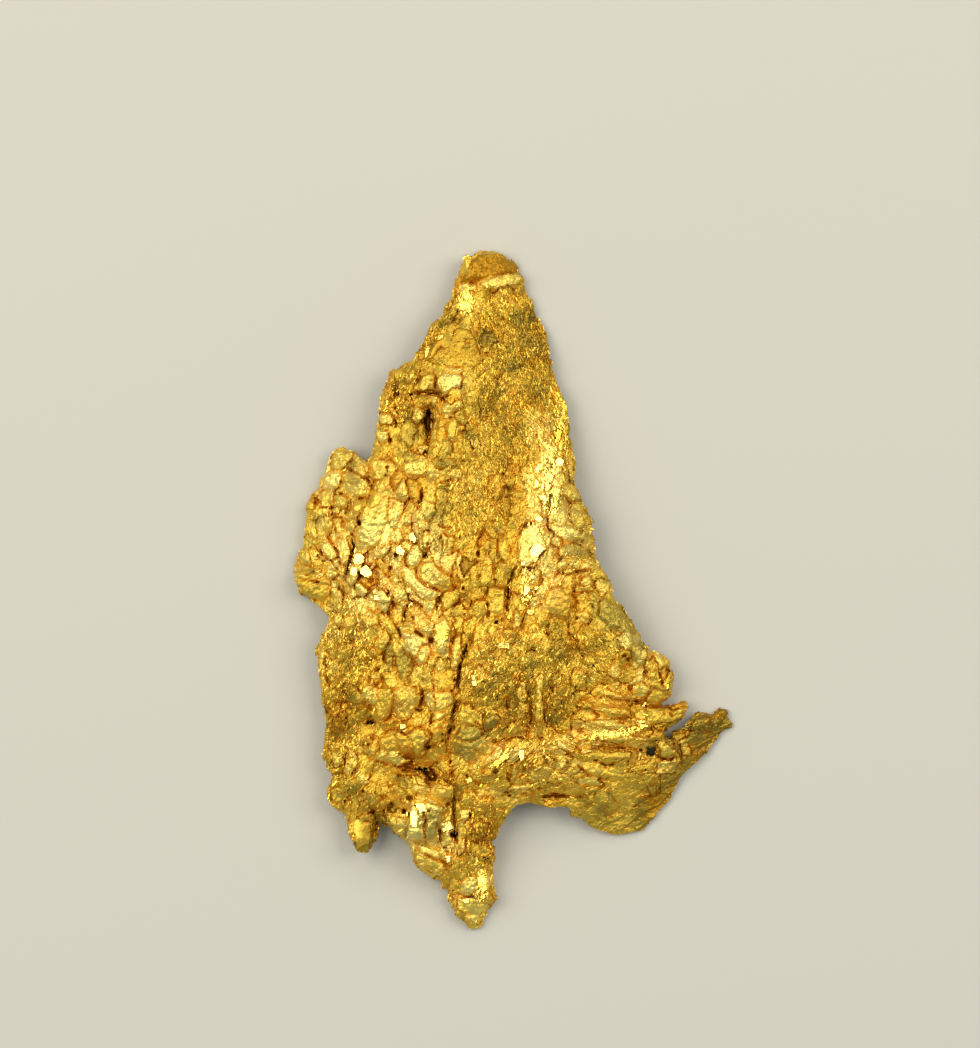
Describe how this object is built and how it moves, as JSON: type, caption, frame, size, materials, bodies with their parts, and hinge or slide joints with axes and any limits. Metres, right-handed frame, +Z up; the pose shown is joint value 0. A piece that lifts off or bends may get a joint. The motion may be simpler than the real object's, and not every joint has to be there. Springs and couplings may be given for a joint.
{
  "type": "leaf gold crystal",
  "caption": "Thin pointed leaf of native gold, its face packed with blocky crystals, cracks and pits, with a lobe at one side and a curled wing at the other; it lies face up.",
  "frame": {"origin": "middle of the bounding box, at the surface that the leaf lies on", "axes": "+Z up out of the crystallised face, +Y along the leaf to its tip, +X towards the curled wing"},
  "size_m": [0.022, 0.034, 0.004],
  "materials": {
    "native_gold": "bare native gold, satin on its larger flats and finely crystalline elsewhere, browner in its cracks"
  },
  "bodies": {
    "root": {"gold_leaf": "native_gold"}
  },
  "joints": []
}
